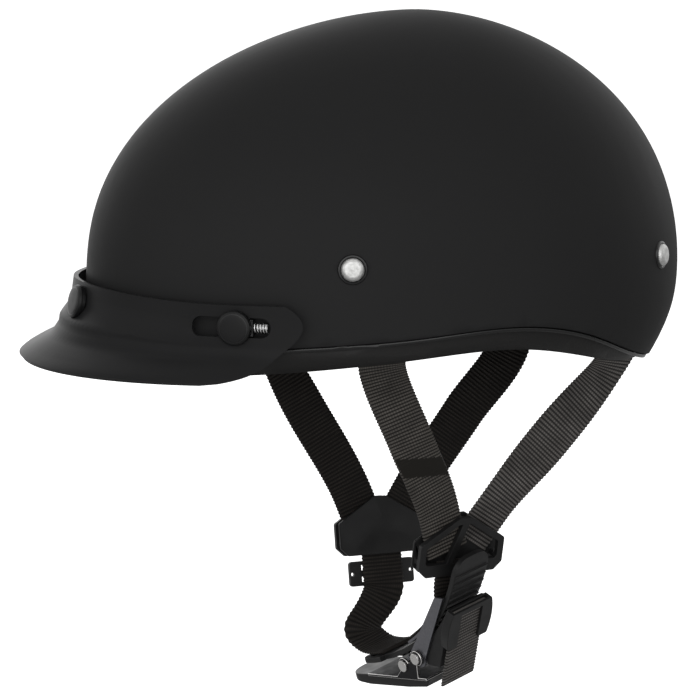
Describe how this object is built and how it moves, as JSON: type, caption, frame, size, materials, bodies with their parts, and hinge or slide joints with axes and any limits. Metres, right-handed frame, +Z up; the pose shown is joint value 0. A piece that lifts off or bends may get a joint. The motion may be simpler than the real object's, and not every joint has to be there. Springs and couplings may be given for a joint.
{
  "type": "half shell motorcycle helmet",
  "caption": "Half shell riding helmet with a short peak visor held by snaps, foam lining, Y-shaped webbing straps and a ratchet chin buckle.",
  "frame": {"origin": "on the middle line of the helmet, at the height of the shell's lowest rim, halfway along the shell's length", "axes": "+Z up towards the crown, -Y towards the wearer's face, +X towards the wearer's left; the head enters from below along -Z"},
  "size_m": [0.222, 0.3144, 0.3229],
  "materials": {
    "shell_paint": "semi-matte black lacquer on the moulded shell",
    "visor_plastic": "satin black sheet",
    "gloss_black": "polished black moulding",
    "black_plastic": "fine grained black moulding",
    "foam": "black expanded bead foam",
    "leatherette": "soft grained black skin",
    "bead_rubber": "glossy black edge trim",
    "pad_fabric": "brushed dark comfort fabric",
    "webbing": "ribbed brownish black webbing",
    "rivet_steel": "polished pale rivet",
    "buckle_steel": "satin plate",
    "spring_steel": "bright wire"
  },
  "bodies": {
    "helmet": {"outer_shell": "shell_paint", "impact_liner": "foam", "rim_cover": "leatherette", "edge_bead": "bead_rubber", "crown_pad": "pad_fabric", "brow_pad": "pad_fabric", "left_side_pad": "pad_fabric", "nape_pad": "pad_fabric", "right_side_pad": "pad_fabric", "left_front_strap": "webbing", "left_rear_strap": "webbing", "right_front_strap": "webbing", "right_rear_strap": "webbing", "strap_rivets": "rivet_steel", "rivet_washers": "rivet_steel", "left_divider": "black_plastic", "left_divider_back": "black_plastic", "right_divider": "black_plastic", "right_divider_back": "black_plastic", "left_chin_strap": "webbing", "right_chin_strap": "webbing", "right_slider": "black_plastic", "buckle_channel": "buckle_steel", "buckle_frame": "black_plastic", "strap_tail": "webbing", "pivot_pin": "buckle_steel", "lever_spring": "spring_steel", "snap_studs": "rivet_steel"},
    "visor": {"visor": "visor_plastic", "front_snap_cap": "gloss_black", "front_snap_socket": "buckle_steel", "left_slot_spring": "spring_steel", "right_slot_spring": "spring_steel"},
    "left_side_snap": {"left_snap_cap": "gloss_black", "left_snap_socket": "buckle_steel"},
    "right_side_snap": {"right_snap_cap": "gloss_black", "right_snap_socket": "buckle_steel"},
    "lever": {"lever_plate": "buckle_steel", "release_lever": "black_plastic", "pawl_pin": "buckle_steel", "pawl": "buckle_steel"},
    "tongue": {"ratchet_tongue": "black_plastic"}
  },
  "joints": [
    {"name": "visor_pull", "type": "slide", "parent": "helmet", "child": "visor", "axis": [0, -1, 0], "range_m": [0, 0.075]},
    {"name": "left_snap_slide", "type": "slide", "parent": "visor", "child": "left_side_snap", "axis": [0.6331, 0.7741, 0], "range_m": [-0.002, 0.002], "stiffness_N_per_m": 400, "deforming": ["left_slot_spring"]},
    {"name": "right_snap_slide", "type": "slide", "parent": "visor", "child": "right_side_snap", "axis": [-0.6331, 0.7741, 0], "range_m": [-0.002, 0.002], "stiffness_N_per_m": 400, "deforming": ["right_slot_spring"]},
    {"name": "lever_hinge", "type": "hinge", "parent": "helmet", "child": "lever", "pos_m": [0.018, 0.0195, -0.142], "axis": [0.2701, -0.942, -0.1994], "range_deg": [0, 28], "stiffness_Nm_per_rad": 0.15, "springref_deg": -20.05},
    {"name": "tongue_hinge", "type": "hinge", "parent": "helmet", "child": "tongue", "pos_m": [-0.03409, -0.01368, -0.0558], "axis": [0.2701, -0.942, -0.1994], "range_deg": [-44, 0], "deforming": ["right_chin_strap"]}
  ]
}
